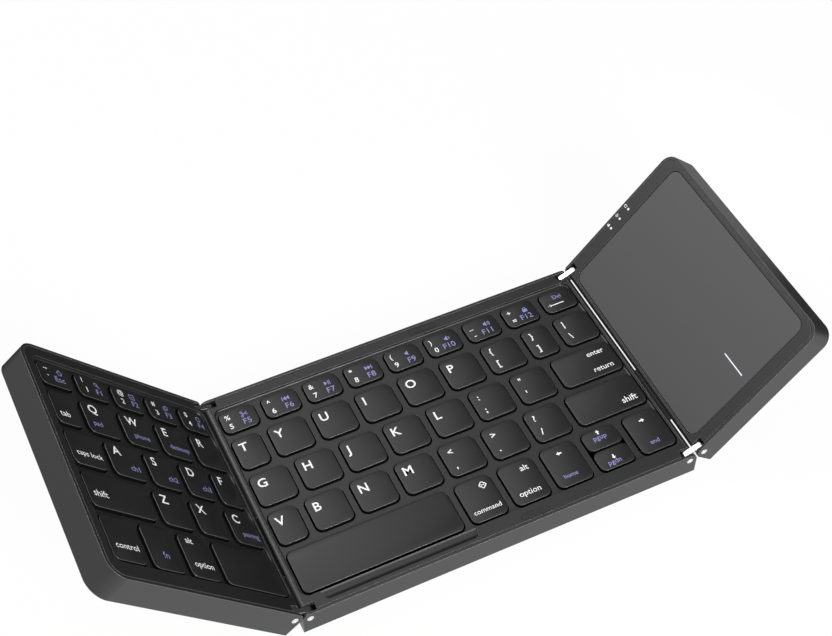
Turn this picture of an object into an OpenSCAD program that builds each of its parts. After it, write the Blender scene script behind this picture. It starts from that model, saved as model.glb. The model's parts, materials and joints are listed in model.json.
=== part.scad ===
// Tri-fold keyboard with a touchpad. Three panels are joined by two double-pivot link hinges, so
// the key panel and the touchpad panel fold over the middle panel and meet above its middle.
// Millimetres. +X is the user's right, +Y is away from the user, +Z is up. The origin is on the
// desk, below the centre of the whole.

/* [Panels] */
// Width of the middle panel
mid_w = 166; // [156:1:176]
// Width of the left key panel
left_w = 96; // [90:0.5:100]
// Width of the right touchpad panel
right_w = 69.5; // [64:0.5:74]
// Depth of all three panels, front to back
depth = 106; // [100:0.2:112]
// Thickness of each panel without its feet
panel_t = 11; // [10.8:0.1:12]
// Corner radius of the left panel, seen from above
left_corner_r = 7.5; // [4:0.5:10]
// Corner radius of the right panel, seen from above
right_corner_r = 6; // [4:0.5:10]
// Outer wall thickness of each bottom shell
wall = 1.2; // [1:0.1:1.6]
// Floor thickness of each bottom shell
floor_t = 1.4; // [1.2:0.1:1.6]
// Height of the rubber feet below the shells
foot_h = 0.6; // [0.4:0.1:1]

/* [Rest pose] */
// Lift of the left panel above flat, in degrees
lift_left = 50; // [0:1:180]
// Lift of the right panel above flat, in degrees
lift_right = 48; // [0:1:180]

/* [Hinge] */
// Distance from each hinge pin to its panel's seam end and top face
pin_in = 3; // [2.8:0.1:3.2]
// Distance between the two pins of a link
link_l = 6.5; // [6.5:0.1:7]
// Diameter of a hinge pin
pin_d = 2.6; // [2.2:0.1:2.8]
// Thickness of a hinge link, front to back
link_t = 2.2; // [1.8:0.1:2.6]
// Width of the hinge pocket, front to back
pocket_w = 3.4; // [3:0.1:3.8]
// Distance from the front face to the flex ribbon
ribbon_y = 19; // [12:1:30]
// Width of the flex ribbon
ribbon_w = 27.5; // [20:0.5:32]

/* [Keys] */
// Gap between neighbouring keycaps
key_gap = 3.45; // [3:0.05:4]
// Clearance round a keycap in its well
well_gap = 0.6; // [0.4:0.05:0.8]
// Corner radius of a keycap
cap_r = 2.6; // [1.5:0.1:3]
// Height of a keycap, skirt to top
cap_h = 2.6; // [2.2:0.1:2.8]
// Depth of the key field below the rim
recess = 1.4; // [1:0.1:1.8]
// Distance of the keycap tops below the rim
cap_drop = 0.3; // [0.2:0.05:0.5]
// Distance that a key travels
key_travel = 1.2; // [0.8:0.1:1.4]

/* [Touchpad] */
// Bezel in front of the touchpad
pad_bezel = 6.5; // [5:0.1:8]
// Bezel behind the touchpad, with the lamps in it
pad_back = 7.3; // [6:0.1:9]
// Bezel at the touchpad's outer side
pad_side = 3.2; // [2.8:0.1:5]
// Corner radius of the touchpad
pad_r = 4; // [2:0.5:6]
// Running gap round the touchpad
pad_gap = 0.3; // [0.2:0.05:0.5]

/* [Hidden] */

fine = 48;
eps = 0.01;
over = 1;

// Heights inside a panel, from its underside
board_z = 1.9;
board_t = 0.8;
plate_z = 4.6;
plate_t = 0.4;
sheet_z = plate_z + plate_t;
sheet_t = 0.3;
base_z = sheet_z + sheet_t;
cap_z = panel_t - cap_drop - cap_h;
cap_top_t = 1.2;
under_cap_z = cap_z + cap_h - cap_top_t;
field_z = panel_t - recess;
frame_z = cap_z - 0.5;

// Hinge
pin_z = panel_t - pin_in;
pin_gap = 0.04;
dimple_r = 0.6;
link_r = 2.1;
pocket_r = link_r + 0.7;
pocket_end = pocket_r + 0.4;
pocket_y = wall - 0.2;
pin_end_y = pocket_y + pocket_w + 1;
tower_x = pin_in + pocket_end + 0.9;
tower_y = pin_end_y + 0.3;
tower_z = panel_t - 1.2;
lip = 2.3;
seam = 0.1;
ledge = 1.2;
ribbon_t = 0.25;
ribbon_gap = 0.3;
ribbon_z = 3.85;
ribbon_in = 18.5;
ribbon_rise = 3.95;
ribbon_turn = 6.35;

// Key rows from front to back, as depths and widths in key units
row_units = [1.196, 1.005, 1, 1, 0.763];
mid_units = [
    [3.68, 0.985, 0.985, 0.985, 0.985, 0.985],
    [0.8, 1, 1, 1, 1, 1, 1, 1.8],
    [1, 1, 1, 1, 1, 1, 1, 1.6],
    [0.8, 1, 1, 1, 1, 1, 1, 0.8, 1],
    [1, 1, 1, 1, 1, 1, 1, 1, 1]
];
left_units = [
    [0.985, 0.97, 0.94, 1.9],
    [1.8, 1, 1, 1],
    [1, 1.02, 0.975, 0.915, 0.88],
    [0.8, 1, 1, 1, 1],
    [1, 1, 1, 1, 1]
];
keys_front = 8.55;
keys_back = depth - 8;
keys_span = keys_back - keys_front + key_gap;
seam_margin = 4.55;
end_margin = 3.7;
outer_margin = 5.8;
left_margin = 3.95;
field_edge = 3.1;
rim_step = 0.35;
rim_groove = 0.15;
field_front = keys_front - 1.25;
field_back = keys_back + 2.1;
field_r = 3.4;
dish_r = 0.8;
arrow_gap = 0.9;

// Screws, feet and stakes
post_r = 1.75;
screw_r = 0.75;
head_r = 1.5;
head_h = 0.9;
sink = 0.5;
rim_y = 4.1;
post_in = 14;
foot_l = 16;
foot_w = 4.2;
boss_r = 2.4;
stake_r = 0.8;

// Touchpad
pad_x = field_edge + pad_gap;
pad_w = right_w - pad_x - pad_side;
pad_d = depth - pad_bezel - pad_back;
pad_t = 1.5;
pad_z = panel_t - 0.2 - pad_t;
pad_board_t = 1;
pad_board_z = pad_z - pad_board_t;
tray_z = plate_z;
tray_t = plate_t;
pivot_r = 0.6;
pivot_y = depth - pad_back - 1.4;
pivot_z = pad_z - pivot_r - 0.03;
led_y = depth - 3.7;
led_x = 28.8;
led_pitch = 5.5;
led_r = 0.55;
board_front = 80;
board_in = 7.5;
board_arm = 13;
side_board_in = 10;
side_board_l = 20;
battery_x = 23;
battery_y = 12;
battery_d = 64;
battery_t = 3;
board_back = depth - 2.7;
usb_x = 22.2;
usb_w = 9;
usb_h = 3.2;
usb_d = 7.3;
usb_z = board_z + board_t;

function upto(v, i) = i <= 0 ? 0 : v[i - 1] + upto(v, i - 1);
function share(v, i) = upto(v, i) / upto(v, len(v));
function row_y(r) = keys_front + keys_span * share(row_units, r);
function row_d(r) = keys_span * (share(row_units, r + 1) - share(row_units, r)) - key_gap;
function mid_span() = mid_w - seam_margin - end_margin + key_gap;
function left_span() = left_w - left_margin - outer_margin + key_gap;
function mid_x(r, i) = seam_margin + mid_span() * share(mid_units[r], i);
function mid_cap_w(r, i) = mid_x(r, i + 1) - mid_x(r, i) - key_gap;
function left_x(r, i) = outer_margin - left_w + left_span() * share(left_units[r], i);
function left_cap_w(r, i) = left_x(r, i + 1) - left_x(r, i) - key_gap;

// A rectangle with round corners, as true arcs
module round_rect(w, d, r) {
    translate([r, 0]) square([w - 2 * r, d]);
    translate([0, r]) square([w, d - 2 * r]);
    for (x = [r, w - r], y = [r, d - r]) {
        translate([x, y]) circle(r = r, $fn = fine);
    }
}

// A bar with round ends, centred
module slot_shape(l, w) {
    translate([-(l - w) / 2, -w / 2]) square([l - w, w]);
    for (x = [-1, 1]) translate([x * (l - w) / 2, 0]) circle(d = w, $fn = fine);
}

// Stretches a profile drawn in X and Z along Y
module along_y(y, l) {
    translate([0, y + l, 0]) rotate([90, 0, 0]) linear_extrude(l) children();
}

// Places: each panel is drawn in its own frame, its underside at Z = 0 and its front face at Y = 0
function out_x(lift, u, w) =
    -pin_in + link_l * cos(lift / 2) + (u - pin_in) * cos(lift) - (w - pin_z) * sin(lift);
function out_z(lift, u, w) =
    pin_z + link_l * sin(lift / 2) + (u - pin_in) * sin(lift) + (w - pin_z) * cos(lift);
function reach(lift, l) = max(0, out_x(lift, 0, 0), out_x(lift, l, 0), out_x(lift, l, panel_t));
centre_x = (mid_w + reach(lift_right, right_w) - reach(lift_left, left_w)) / 2;

module in_mid() {
    translate([-centre_x, -depth / 2, foot_h]) children();
}

// Drawn from X = 0 at the seam to the left, as negative X
module in_left() {
    in_mid() translate([pin_in, 0, pin_z]) rotate([0, lift_left / 2, 0])
        translate([-link_l, 0, 0]) rotate([0, lift_left / 2, 0])
            translate([pin_in, 0, -pin_z]) children();
}

// Drawn from X = 0 at the seam to the right
module in_right() {
    in_mid() translate([mid_w - pin_in, 0, pin_z]) rotate([0, -lift_right / 2, 0])
        translate([link_l, 0, 0]) rotate([0, -lift_right / 2, 0])
            translate([-pin_in, 0, -pin_z]) children();
}

// One panel's outer form, from x0 to x1, with a bullnose about the pin line at each seam end
module panel_form(x0, x1, seam_0, seam_1, r) {
    intersection() {
        along_y(0, depth) difference() {
            translate([x0, 0]) square([x1 - x0, panel_t]);
            if (seam_0) nose_cut(x0, 1);
            if (seam_1) nose_cut(x1, -1);
        }
        translate([0, 0, -over]) linear_extrude(panel_t + 2 * over) panel_plan(x0, x1, seam_0, seam_1, r);
    }
}

module nose_cut(x, s) {
    difference() {
        translate([min(x - over * s, x + pin_in * s), pin_z]) square([pin_in + over, pin_in + over]);
        translate([x + pin_in * s, pin_z]) circle(r = pin_in, $fn = fine);
    }
}

module panel_plan(x0, x1, seam_0, seam_1, r) {
    if (seam_0 && seam_1) {
        translate([x0, 0]) square([x1 - x0, depth]);
    } else {
        translate([x0, 0]) round_rect(x1 - x0, depth, r);
        translate([seam_0 ? x0 : x0 + r, 0]) square([x1 - x0 - r, depth]);
    }
}

// The right panel alone has its seam at the left and round corners at the right
function end_corner(seam_0) = seam_0 ? right_corner_r : left_corner_r;

// The plan inside a shell, set in by a from the walls and by b from a seam end
module inner_plan(x0, x1, seam_0, seam_1, a, b) {
    xa = x0 + (seam_0 ? b : a);
    xb = x1 - (seam_1 ? b : a);
    r = max(end_corner(seam_0) - a, 1);
    if (seam_0 && seam_1) {
        translate([xa, a]) square([xb - xa, depth - 2 * a]);
    } else {
        translate([xa, a]) round_rect(xb - xa, depth - 2 * a, r);
        translate([seam_0 ? xa : xa + r, a]) square([xb - xa - r, depth - 2 * a]);
    }
}

// Squares in the plan at the hinge corners of a seam end at x, growing inwards along s
module hinge_squares(x, s, w, d) {
    for (back = [0, 1]) {
        translate([s > 0 ? x : x - w, back ? depth - d : 0]) square([w, d]);
    }
}

// Hinge pockets of a seam end at x, open at the top and at the seam
module pockets(x, s) {
    l = pin_in + pocket_end;
    for (y = [pocket_y, depth - pocket_y - pocket_w]) {
        translate([s > 0 ? x - over : x - l, y, pin_z - pocket_r])
            cube([l + over, pocket_w, pocket_r + pin_in + over]);
    }
}

// Front and back pins on the pin line at x, grown by g
module pins_at(x, g) {
    for (y = [0, depth - pin_end_y]) {
        translate([x, y - (g > 0 && y == 0 ? over : 0), pin_z]) rotate([-90, 0, 0])
            cylinder(d = pin_d + 2 * g, h = pin_end_y + (g > 0 ? over : 0), $fn = fine);
    }
}

// The pins of one pin line, their outer ends dimpled by the staking tool
module pins(x) {
    difference() {
        pins_at(x, 0);
        for (back = [0, 1]) translate([x, back * depth, pin_z]) rotate([back ? 90 : -90, 0, 0])
            translate([0, 0, -eps]) cylinder(r1 = dimple_r, r2 = dimple_r / 2, h = dimple_r / 2, $fn = fine);
    }
}

// Places of the case screws and feet, from x0 to x1
module at_screws(xs) {
    for (x = xs, y = [rim_y, depth - rim_y]) translate([x, y, 0]) children();
}

mid_screws = [post_in, mid_w - post_in];
left_screws = [post_in - left_w, -post_in];
right_screws = [post_in, right_w - post_in];

// A bottom shell: a tub with a ledge for the plate, hinge towers, screw bosses and foot recesses
module shell(x0, x1, seam_0, seam_1, xs) {
    difference() {
        union() {
            difference() {
                panel_form(x0, x1, seam_0, seam_1, end_corner(seam_0));
                translate([0, 0, floor_t]) linear_extrude(panel_t)
                    inner_plan(x0, x1, seam_0, seam_1, wall + ledge, lip + ledge);
                translate([0, 0, plate_z]) linear_extrude(panel_t)
                    inner_plan(x0, x1, seam_0, seam_1, wall, lip);
            }
            translate([0, 0, floor_t]) linear_extrude(tower_z - floor_t) intersection() {
                union() {
                    if (seam_0) hinge_squares(x0 + lip - eps, 1, tower_x - lip, tower_y);
                    if (seam_1) hinge_squares(x1 - lip + eps, -1, tower_x - lip, tower_y);
                }
                panel_plan(x0, x1, seam_0, seam_1, end_corner(seam_0));
            }
            at_screws(xs) cylinder(r = boss_r, h = plate_z, $fn = fine);
        }
        at_screws(xs) translate([0, 0, -over]) cylinder(r = screw_r + 0.1, h = plate_z + 2 * over, $fn = fine);
        at_screws(xs) translate([0, 0, -over]) cylinder(r = head_r + 0.1, h = over + sink + head_h, $fn = fine);
        at_screws(xs) translate([0, 0, -over]) linear_extrude(over + sink)
            slot_shape(foot_l + 0.1, foot_w + 0.1);
        if (seam_0) seam_holes(x0, 1);
        if (seam_1) seam_holes(x1, -1);
    }
}

// Pockets, pin holes and the ribbon's slot at one seam end
module seam_holes(x, s) {
    pockets(x, s);
    pins_at(x + s * pin_in, 0.01);
    ribbon_way(x, s);
}

// The ribbon's path inside a panel, measured inwards from the seam end: along the floor, up beside
// the ledge, then out through the bullnose on a line halfway between level and upright
mouth = [pin_in - pin_in * cos(45), pin_z + pin_in * sin(45)];
ribbon_path = [[ribbon_in, ribbon_z], [ribbon_rise, ribbon_z], [ribbon_rise, ribbon_turn], mouth];

module strip(a, b, t) {
    d = b - a;
    translate(a) rotate(atan2(d[1], d[0])) translate([0, -t / 2]) square([norm(d), t]);
    translate(a) circle(d = t, $fn = 24);
    translate(b) circle(d = t, $fn = 24);
}

// The slot that lets the ribbon through a panel with its seam end at x
module ribbon_way(x, s) {
    t = ribbon_t + 2 * ribbon_gap;
    outside = mouth + (mouth - ribbon_path[2]) * 0.3;
    translate([x, 0, 0]) mirror([s > 0 ? 0 : 1, 0, 0]) along_y(ribbon_y - ribbon_gap, ribbon_w + 2 * ribbon_gap) {
        strip(ribbon_path[1], ribbon_path[2], t);
        strip(ribbon_path[2], outside, t);
    }
}

// Standoffs and ribs on a shell's floor
module standoffs(points) {
    for (p = points) {
        translate([p[0], p[1], floor_t - eps]) cylinder(r = 1.6, h = board_z - floor_t + eps, $fn = fine);
    }
}

module ribs(xa, xb, ys) {
    for (y = ys) translate([xa, y - 0.5, floor_t - eps]) cube([xb - xa, 1, plate_z - floor_t + eps]);
}

// A top frame's rim: the plan inside the shell wall
module frame_plan(x0, x1, seam_0, seam_1) {
    inner_plan(x0, x1, seam_0, seam_1, wall + seam, lip + seam);
}

// Skirt that stands on the switch sheet, and the posts for screws and stakes
module frame_supports(x0, x1, seam_0, seam_1, xs, foot_z) {
    translate([0, 0, foot_z]) linear_extrude(frame_z - foot_z + eps) difference() {
        frame_plan(x0, x1, seam_0, seam_1);
        inner_plan(x0, x1, seam_0, seam_1, wall + seam + 1, lip + seam + 0.45);
        if (seam_0) hinge_squares(x0, 1, tower_x + 0.2, tower_y + 0.2);
        if (seam_1) hinge_squares(x1, -1, tower_x + 0.2, tower_y + 0.2);
    }
    at_screws(xs) translate([0, 0, foot_z]) cylinder(r = post_r, h = frame_z - foot_z + eps, $fn = fine);
}

module frame_holes(x0, x1, seam_0, seam_1, xs) {
    if (seam_0) {
        pockets(x0, 1);
        tower_notch(x0, 1);
    }
    if (seam_1) {
        pockets(x1, -1);
        tower_notch(x1, -1);
        ribbon_way(x1, -1);
    }
    if (seam_0) ribbon_way(x0, 1);
    at_screws(xs) translate([0, 0, -over]) cylinder(r = screw_r, h = over + screw_top + 0.3, $fn = fine);
    translate([0, 0, panel_t - rim_step]) linear_extrude(rim_step + over) difference() {
        inner_plan(x0 - over, x1 + over, seam_0, seam_1, 0, 0);
        inner_plan(x0, x1, seam_0, seam_1, wall + seam + rim_groove, lip + seam);
    }
}

screw_top = 8.6;

module tower_notch(x, s) {
    translate([0, 0, frame_z - over]) linear_extrude(tower_z + 0.05 - frame_z + over)
        hinge_squares(x, s, tower_x + 0.1, tower_y + 0.1);
}

// Stakes that hold a plate to a frame, in the webs between the key rows
module stakes(xs, g, z0, z1) {
    for (x = xs, r = [1, 2, 3, 4]) {
        translate([x, row_y(r) - key_gap / 2, z0]) cylinder(r = stake_r + g, h = z1 - z0, $fn = fine);
    }
}

mid_stakes = [mid_w * 0.2, mid_w * 0.5, mid_w * 0.8];
left_stakes = [-left_w * 0.75, -left_w * 0.25];

// A support plate or switch sheet, cleared round the hinge towers, bosses' screws and stakes
module sheet(x0, x1, seam_0, seam_1, xs, ss, z, t) {
    difference() {
        translate([0, 0, z]) linear_extrude(t) difference() {
            inner_plan(x0, x1, seam_0, seam_1, wall + 0.1, lip + 0.1);
            if (seam_0) hinge_squares(x0, 1, tower_x + 0.1, tower_y + 0.1);
            if (seam_1) hinge_squares(x1, -1, tower_x + 0.1, tower_y + 0.1);
        }
        at_screws(xs) translate([0, 0, z - over]) cylinder(r = screw_r + 0.1, h = t + 2 * over, $fn = fine);
        stakes(ss, 0.1, z - over, z + t + over);
        if (seam_0) ribbon_way(x0, 1);
        if (seam_1) ribbon_way(x1, -1);
    }
}

// One keycap, its front left corner at the origin and its skirt at Z = 0
module keycap(w, d) {
    c = 0.3;
    difference() {
        intersection() {
            linear_extrude(cap_h) round_rect(w, d, cap_r);
            along_y(-over, d + 2 * over)
                polygon([[0, 0], [w, 0], [w, cap_h - c], [w - c, cap_h], [c, cap_h], [0, cap_h - c]]);
            translate([-over, 0, 0]) rotate([90, 0, 90]) linear_extrude(w + 2 * over)
                polygon([[0, 0], [d, 0], [d, cap_h - c], [d - c, cap_h], [c, cap_h], [0, cap_h - c]]);
        }
        translate([0.9, 0.9, -over]) linear_extrude(over + cap_h - cap_top_t)
            round_rect(w - 1.8, d - 1.8, cap_r - 0.9);
    }
}

// Keys of one row of the middle panel, from i0 to i1
module mid_keys(r, i0, i1) {
    in_mid() for (i = [i0:i1]) {
        translate([mid_x(r, i), row_y(r), cap_z]) keycap(mid_cap_w(r, i), row_d(r));
    }
}

module left_keys(r, i0, i1) {
    in_left() for (i = [i0:i1]) {
        translate([left_x(r, i), row_y(r), cap_z]) keycap(left_cap_w(r, i), row_d(r));
    }
}

// The two half-depth arrow keys share one place in the front row
arrow_d = (row_d(0) - arrow_gap) / 2;

module half_key(upper) {
    in_mid() translate([mid_x(0, 4), row_y(0) + (upper ? arrow_d + arrow_gap : 0), cap_z])
        keycap(mid_cap_w(0, 4), arrow_d);
}

// Key wells as a plan
module mid_wells() {
    for (r = [0:4], i = [0:len(mid_units[r]) - 1]) {
        translate([mid_x(r, i) - well_gap, row_y(r) - well_gap])
            round_rect(mid_cap_w(r, i) + 2 * well_gap, row_d(r) + 2 * well_gap, cap_r + well_gap);
    }
}

module left_wells() {
    for (r = [0:4], i = [0:len(left_units[r]) - 1]) {
        translate([left_x(r, i) - well_gap, row_y(r) - well_gap])
            round_rect(left_cap_w(r, i) + 2 * well_gap, row_d(r) + 2 * well_gap, cap_r + well_gap);
    }
}

// Mechanism under one keycap of width w and depth d, its centre at the origin and its base at Z = 0
lift_h = under_cap_z - base_z;
arm_w = 0.7;
arm_t = 0.8;
ring_long = 11.6;
ring_wide = 11;
ring_end = 2;
ring_side = 1.1;

module ring(l, d, a) {
    rotate([0, a, 0]) difference() {
        translate([-l / 2, -d / 2, -arm_t / 2]) cube([l, d, arm_t]);
        translate([-l / 2 + arm_w, -d / 2 + arm_w, -arm_t]) cube([l - 2 * arm_w, d - 2 * arm_w, 2 * arm_t]);
    }
}

function ring_angle(l) = asin((lift_h - 0.15 - arm_t) / l);
function ring_l(w) = min(w - 2 * ring_end, ring_long);
function ring_d(d) = min(d - 2 * ring_side, ring_wide);

module scissor(w, d) {
    l = ring_l(w);
    s = ring_d(d);
    li = l - 2 * arm_w - 0.3;
    si = s - 2 * arm_w - 0.3;
    translate([0, 0, lift_h / 2]) {
        ring(l, s, -ring_angle(l));
        ring(li, si, ring_angle(li));
        for (y = [-1, 1]) {
            translate([0, y * (si / 2 + 0.075), 0]) rotate([90, 0, 0])
                cylinder(r = 0.3, h = 0.15 + eps, center = true, $fn = 24);
        }
    }
}

module dome(w, d) {
    room = ring_l(w) - 4 * arm_w - 0.3;
    r = min(3, (ring_d(d) - 4 * arm_w - 0.6) / 2, room / 2 * cos(ring_angle(room + 2 * arm_w)) - 0.3);
    h = lift_h - 0.05;
    rotate_extrude($fn = fine) polygon([
        [r - 0.7, 0], [r, 0], [r, 0.35], [r * 0.62, h - 0.7], [r * 0.62, h],
        [0, h], [0, h - 0.9], [r * 0.4, h - 0.9]
    ]);
}

// Lays one thing per key of a panel: children 0 is a scissor or a dome chosen by kind
module under_mid(kind) {
    in_mid() for (r = [0:4], i = [0:len(mid_units[r]) - 1]) {
        w = mid_cap_w(r, i);
        if (r == 0 && i == 4) {
            for (k = [0, 1]) {
                translate([mid_x(r, i) + w / 2, row_y(r) + arrow_d / 2 + k * (arrow_d + arrow_gap), base_z])
                    mechanism(kind, w, arrow_d);
            }
        } else {
            translate([mid_x(r, i) + w / 2, row_y(r) + row_d(r) / 2, base_z])
                mechanism(kind, w, row_d(r));
        }
    }
}

module under_left(kind) {
    in_left() for (r = [0:4], i = [0:len(left_units[r]) - 1]) {
        w = left_cap_w(r, i);
        translate([left_x(r, i) + w / 2, row_y(r) + row_d(r) / 2, base_z])
            mechanism(kind, w, row_d(r));
    }
}

module mechanism(kind, w, d) {
    if (kind == "scissor") scissor(w, d);
    if (kind == "dome") dome(w, d);
}

// Middle panel
module shell_mid() {
    color("#3c3c3e") in_mid() {
        difference() {
            union() {
                shell(0, mid_w, true, true, mid_screws);
                standoffs([for (x = [24, mid_w - 24], y = [22, 44]) [x, y]]);
                ribs(8, mid_w - 8, [row_y(3) - key_gap / 2, row_y(4) - key_gap / 2]);
            }
            stakes(mid_stakes, 0.1, plate_z - 0.6, plate_z + over);
        }
    }
}

// Recess of a key field: flat, with a fillet all round where its wall rises to the rim
module dish(l) {
    translate([dish_r, 0]) square([l - 2 * dish_r, recess + over]);
    translate([0, dish_r]) square([l, recess + over - dish_r]);
    for (x = [dish_r, l - dish_r]) translate([x, dish_r]) circle(r = dish_r, $fn = fine);
}

module dish_corner() {
    rotate_extrude($fn = fine) {
        square([field_r - dish_r, recess + over]);
        translate([0, dish_r]) square([field_r, recess + over - dish_r]);
        translate([field_r - dish_r, dish_r]) circle(r = dish_r, $fn = fine);
    }
}

module field_cut(x0, x1) {
    w = x1 - x0;
    d = field_back - field_front;
    translate([x0, field_front, field_z]) {
        along_y(field_r, d - 2 * field_r) dish(w);
        translate([field_r, 0, 0]) rotate([90, 0, 90]) linear_extrude(w - 2 * field_r) dish(d);
        for (x = [field_r, w - field_r], y = [field_r, d - field_r]) translate([x, y, 0]) dish_corner();
    }
}

// Thumb scoop in front of the space key: a shallow trough with S-curved ends
scoop_x = 8.2;
scoop_end = mid_x(0, 1) + 1.9;
scoop_y = 3;
scoop_w = 4.6;
scoop_depth = 1;
scoop_r = (scoop_w * scoop_w / 4 + scoop_depth * scoop_depth) / (2 * scoop_depth);

module scoop() {
    intersection() {
        translate([scoop_x, scoop_y + scoop_w / 2, panel_t - scoop_depth + scoop_r]) rotate([0, 90, 0])
            cylinder(r = scoop_r, h = scoop_end - scoop_x, $fn = fine);
        translate([0, 0, panel_t - 2 * scoop_depth]) linear_extrude(2 * scoop_depth + over) scoop_plan();
    }
}

module scoop_plan() {
    b = scoop_w / 2;
    intersection() {
        translate([scoop_x + b, scoop_y]) round_rect(scoop_end - scoop_x - scoop_w, 2 * scoop_w, b);
        translate([scoop_x, scoop_y]) square([scoop_end - scoop_x, scoop_w]);
    }
    for (right = [0, 1]) difference() {
        translate([right ? scoop_end - b - eps : scoop_x, scoop_y + b]) square([b + eps, b]);
        translate([right ? scoop_end : scoop_x, scoop_y + b]) circle(r = b, $fn = fine);
    }
}

module frame_mid() {
    color("#3a3a3b") in_mid() {
        difference() {
            union() {
                difference() {
                    translate([0, 0, frame_z]) linear_extrude(panel_t - frame_z)
                        frame_plan(0, mid_w, true, true);
                    translate([0, 0, frame_z - over]) linear_extrude(panel_t) mid_wells();
                    field_cut(field_edge, mid_w - field_edge);
                }
                frame_supports(0, mid_w, true, true, mid_screws, base_z);
                stakes(mid_stakes, 0, plate_z - 0.4, frame_z + eps);
            }
            frame_holes(0, mid_w, true, true, mid_screws);
            scoop();
            bumper_seats(0.1);
        }
    }
}

// Rubber strips let into the front and back rims, where the closed side panels meet
bumper_x = left_w + 0.6;
bumper_y = 3.3;
bumper_l = 12.2;
bumper_w = 2.4;
bumper_sunk = 0.6;
bumper_proud = 0.3;

module bumper_seats(g) {
    for (y = [bumper_y, depth - bumper_y]) {
        translate([bumper_x, y, panel_t - bumper_sunk]) linear_extrude(bumper_sunk + over)
            slot_shape(bumper_l + g, bumper_w + g);
    }
}

module bumpers_mid() {
    color("#1d1d1e") in_mid() for (y = [bumper_y, depth - bumper_y]) {
        translate([bumper_x, y, panel_t - bumper_sunk]) linear_extrude(bumper_sunk + bumper_proud)
            slot_shape(bumper_l, bumper_w);
    }
}

module plate_mid() {
    color("#a9abae") in_mid() sheet(0, mid_w, true, true, mid_screws, mid_stakes, plate_z, plate_t);
}

module membrane_mid() {
    color("#c9cfc4") in_mid() sheet(0, mid_w, true, true, mid_screws, mid_stakes, sheet_z, sheet_t);
}

module domes_mid() {
    color("#d9d9d4") under_mid("dome");
}

module scissors_mid() {
    color("#ededea") under_mid("scissor");
}

// A circuit board with a ribbon connector along each seam that it serves
module connector(x) {
    translate([x - 2, ribbon_y - 0.5, board_z + board_t - eps]) difference() {
        cube([4, ribbon_w + 1, ribbon_z + 0.5 - board_z - board_t]);
        translate([-over, 0.3, ribbon_z - 0.2 - board_z - board_t]) cube([4 + 2 * over, ribbon_w + 0.4, 0.4]);
    }
}

module chip(x, y, w, d, h) {
    translate([x, y, board_z + board_t - eps]) cube([w, d, h]);
}

module main_board() {
    color("#1f5a3a") in_mid() {
        translate([14, ribbon_y - 1, board_z]) cube([mid_w - 28, ribbon_w + 2, board_t]);
        connector(18);
        connector(mid_w - 18);
        chip(mid_w / 2 - 4, ribbon_y + 8, 8, 8, 1);
        chip(mid_w / 2 + 12, ribbon_y + 9, 5, 6, 0.9);
        chip(mid_w / 2 - 20, ribbon_y + 10, 3.2, 2.5, 0.8);
    }
}

// One case screw with its head below, from its seat to the frame's post
module case_screw() {
    translate([0, 0, sink]) cylinder(r = head_r, h = head_h, $fn = fine);
    translate([0, 0, sink + head_h - eps]) cylinder(r = screw_r - 0.02, h = screw_top - sink - head_h, $fn = fine);
}

module screws_mid() {
    color("#8d9094") in_mid() at_screws(mid_screws) case_screw();
}

module foot() {
    translate([0, 0, -foot_h]) linear_extrude(foot_h + sink) slot_shape(foot_l, foot_w);
}

module feet_mid() {
    color("#202021") in_mid() at_screws(mid_screws) foot();
}

module pins_mid() {
    color("#c4c6c9") in_mid() {
        pins(pin_in);
        pins(mid_w - pin_in);
    }
}

module keys_number_mid() {
    color("#2e2e30") mid_keys(4, 0, 8);
}

module keys_upper_mid() {
    color("#2e2e30") mid_keys(3, 0, 8);
}

module keys_home_mid() {
    color("#2e2e30") mid_keys(2, 0, 6);
}

module key_enter() {
    color("#2e2e30") mid_keys(2, 7, 7);
}

module keys_lower_mid() {
    color("#2e2e30") mid_keys(1, 0, 6);
}

module key_shift_right() {
    color("#2e2e30") mid_keys(1, 7, 7);
}

module key_space_mid() {
    color("#2e2e30") mid_keys(0, 0, 0);
}

module keys_modifier_mid() {
    color("#2e2e30") mid_keys(0, 1, 2);
}

module key_arrow_left() {
    color("#2e2e30") mid_keys(0, 3, 3);
}

module key_arrow_up() {
    color("#2e2e30") half_key(true);
}

module key_arrow_down() {
    color("#2e2e30") half_key(false);
}

module key_arrow_right() {
    color("#2e2e30") mid_keys(0, 5, 5);
}

// Hinge links: one flat bar with two pin holes at the front and one at the back of a seam
module links(s) {
    for (y = [pocket_y + (pocket_w - link_t) / 2, depth - pocket_y - (pocket_w + link_t) / 2]) {
        along_y(y, link_t) difference() {
            union() {
                translate([min(0, s * link_l), -link_r]) square([link_l, 2 * link_r]);
                for (x = [0, s * link_l]) translate([x, 0]) circle(r = link_r, $fn = fine);
            }
            for (x = [0, s * link_l]) translate([x, 0]) circle(r = pin_d / 2 + pin_gap, $fn = fine);
        }
    }
}

module links_left() {
    color("#c9cacc") in_mid() translate([pin_in, 0, pin_z]) rotate([0, lift_left / 2, 0]) links(-1);
}

module links_right() {
    color("#c9cacc") in_mid() translate([mid_w - pin_in, 0, pin_z]) rotate([0, -lift_right / 2, 0]) links(1);
}

// A flex ribbon across a seam, drawn for a right-hand seam with the middle panel's end at X = 0
module ribbon(lift) {
    inner = [for (p = ribbon_path) [-p[0], p[1]]];
    outer = [for (p = ribbon_path) [out_x(lift, p[0], p[1]), out_z(lift, p[0], p[1])]];
    along_y(ribbon_y, ribbon_w) {
        for (i = [0:2]) {
            strip(inner[i], inner[i + 1], ribbon_t);
            strip(outer[i], outer[i + 1], ribbon_t);
        }
        strip(inner[3], outer[3], ribbon_t);
    }
}

module ribbon_left() {
    color("#17171a") in_mid() mirror([1, 0, 0]) ribbon(lift_left);
}

module ribbon_right() {
    color("#17171a") in_mid() translate([mid_w, 0, 0]) ribbon(lift_right);
}

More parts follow.
